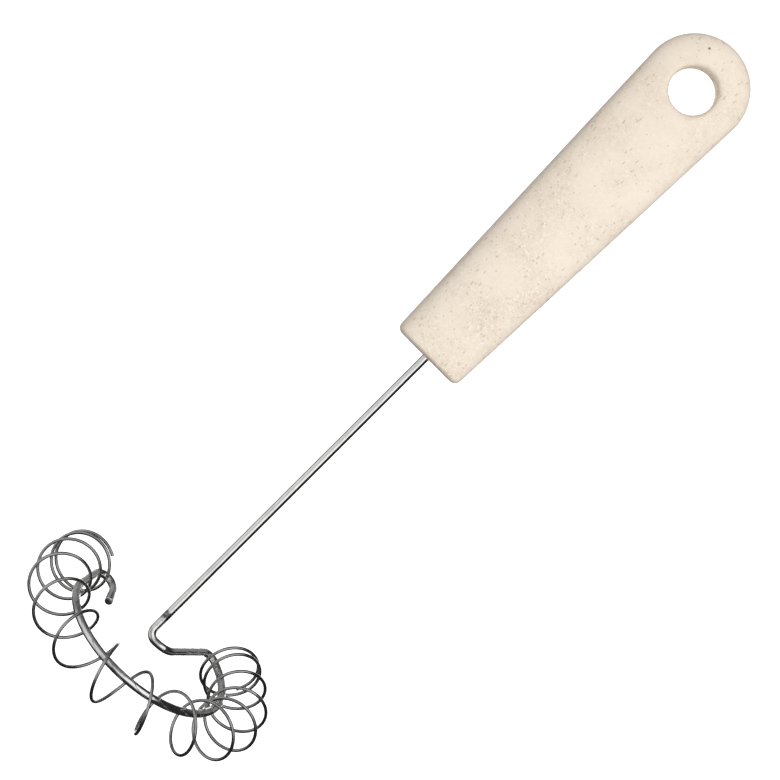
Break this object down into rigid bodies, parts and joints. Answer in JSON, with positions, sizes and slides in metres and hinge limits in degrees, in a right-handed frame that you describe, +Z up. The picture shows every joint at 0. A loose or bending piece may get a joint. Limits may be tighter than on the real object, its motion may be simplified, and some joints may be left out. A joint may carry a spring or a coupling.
{
  "type": "spiral whisk",
  "caption": "Hand whisk with a flat tapered handle, a cranked wire shaft, an open ring at its end and a loose springy coil threaded on the ring, for whisking in a shallow dish.",
  "frame": {"origin": "the middle of the hanging hole, halfway through the handle's thickness", "axes": "+Z runs up the shaft to the handle's rounded end, +X is the side where the neck meets the ring, and the handle's front faces -Y"},
  "size_m": [0.0862, 0.0691, 0.2705],
  "materials": {
    "handle_composite": "matt, pale beige with fine darker plant flecks",
    "core_steel": "bright drawn stainless wire",
    "coil_steel": "drawn stainless spring wire, a little greyer than the core wire"
  },
  "bodies": {
    "frame": {"handle": "handle_composite", "core_wire": "core_steel"},
    "spring": {"coil": "coil_steel"}
  },
  "joints": [
    {"name": "coil_slide", "type": "hinge", "parent": "frame", "child": "spring", "pos_m": [0.0022, 0, -0.23185], "axis": [-0.0312, -0.342, 0.9392], "range_deg": [-3.5, 2.5], "stiffness_Nm_per_rad": 0.24}
  ]
}
